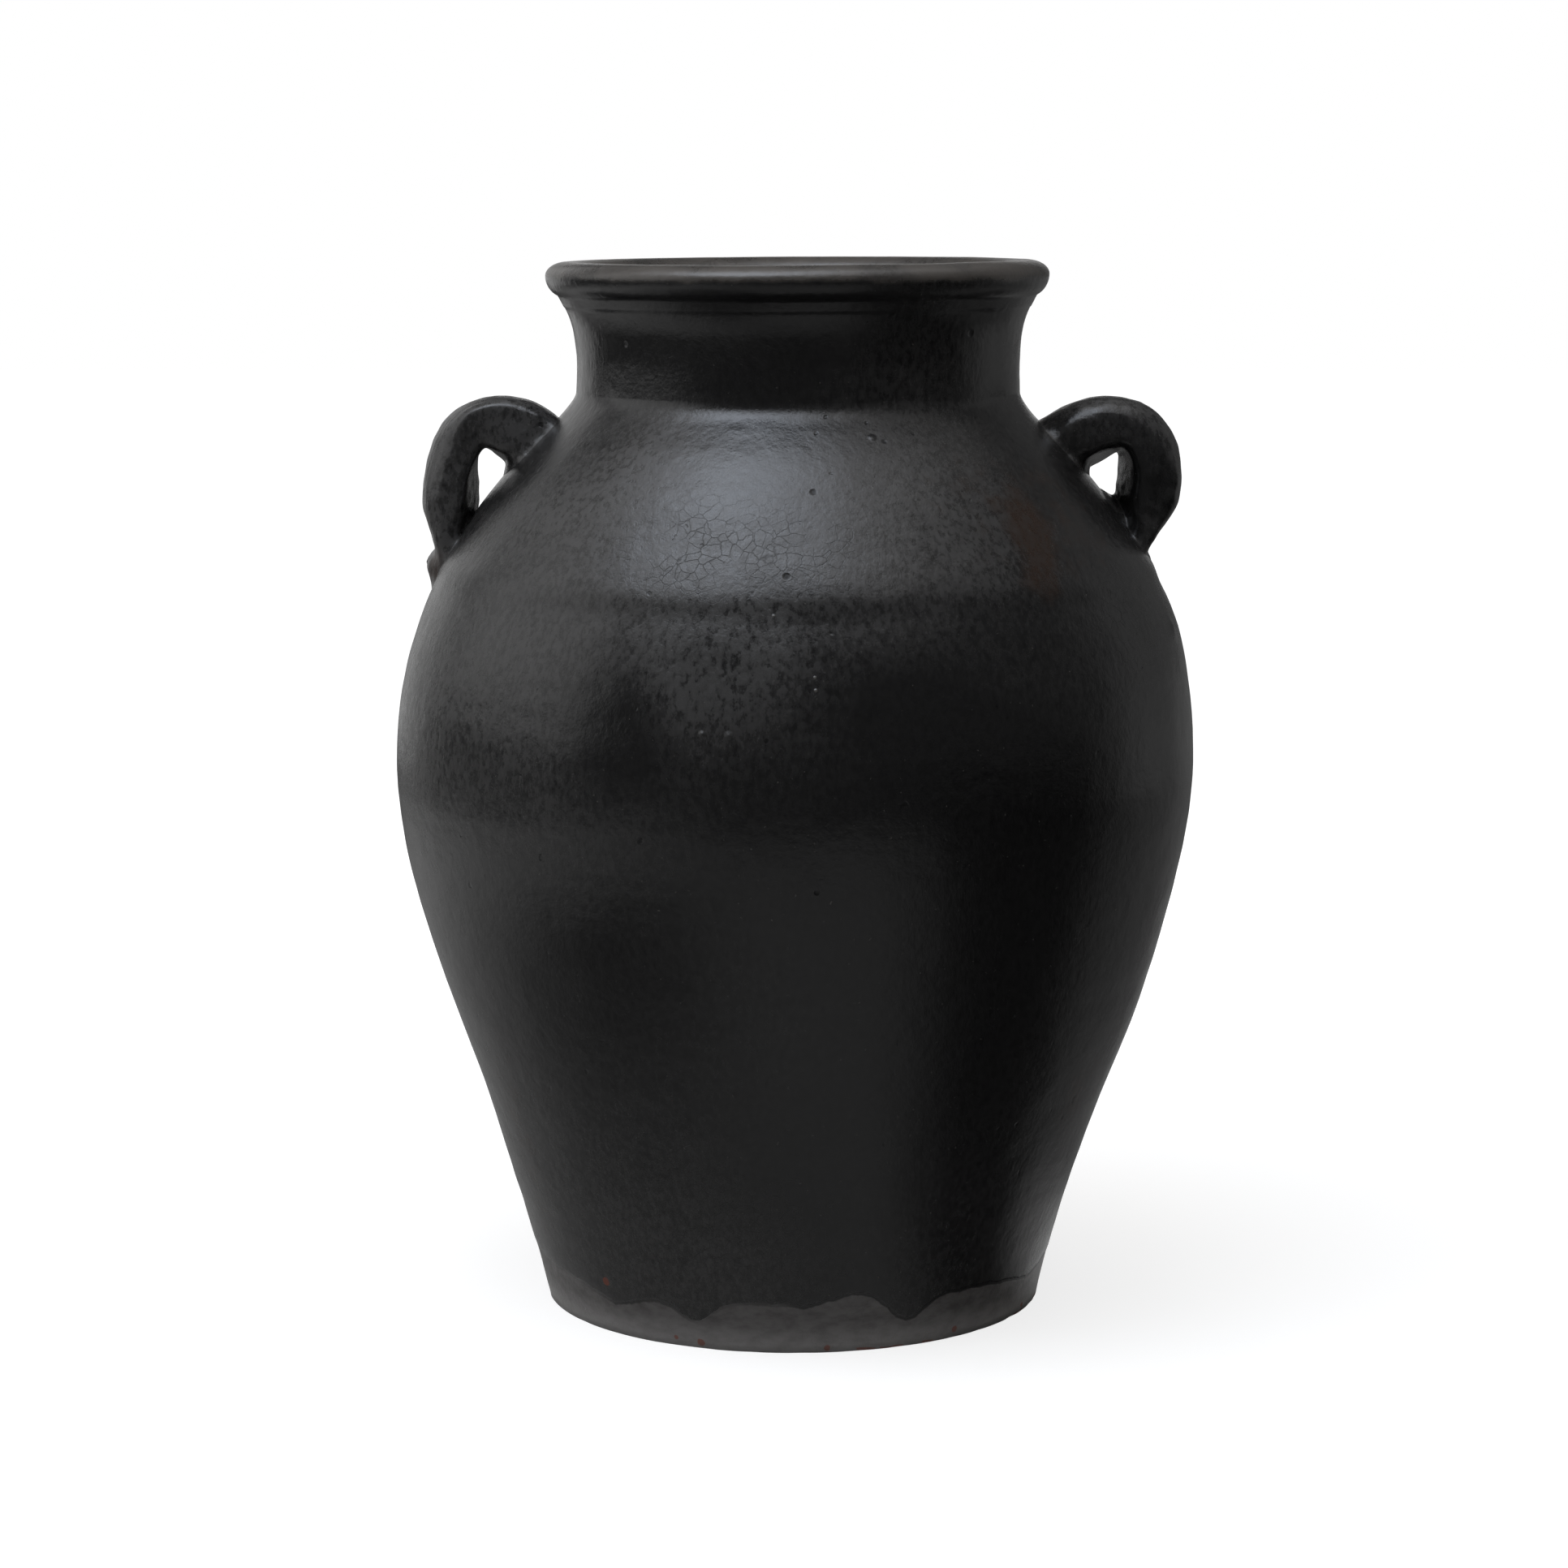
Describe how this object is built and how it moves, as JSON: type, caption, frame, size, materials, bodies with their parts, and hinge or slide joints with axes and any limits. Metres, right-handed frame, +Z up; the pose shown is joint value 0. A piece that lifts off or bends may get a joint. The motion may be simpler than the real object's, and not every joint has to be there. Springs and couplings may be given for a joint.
{
  "type": "ceramic jar",
  "caption": "Wide-bellied black-glazed ceramic jar with a short neck, rolled rim, flat foot and a strap handle on either shoulder.",
  "frame": {"origin": "middle of the flat foot, on the surface that the jar stands on", "axes": "+Z up along the jar's axis; the two handles lie on +X (right) and -X (left); the pictured side faces -Y"},
  "size_m": [0.33, 0.33, 0.4309],
  "materials": {
    "black_glaze": "thin near-black glaze with a fine crackle, semi-gloss, brown where it is thin",
    "handle_glaze": "near-black glaze pooled thicker and glossier on the hand-pulled handles",
    "worn_glaze": "thin brown-black wash over red clay, worn along the edge of the foot"
  },
  "bodies": {
    "root": {"floor_slab": "worn_glaze", "lower_wall": "black_glaze", "upper_wall": "black_glaze", "neck_collar": "black_glaze", "rolled_rim": "black_glaze", "right_handle": "handle_glaze", "right_handle_top_pad": "handle_glaze", "right_handle_foot_pad": "handle_glaze", "left_handle": "handle_glaze", "left_handle_top_pad": "handle_glaze", "left_handle_foot_pad": "handle_glaze"}
  },
  "joints": []
}
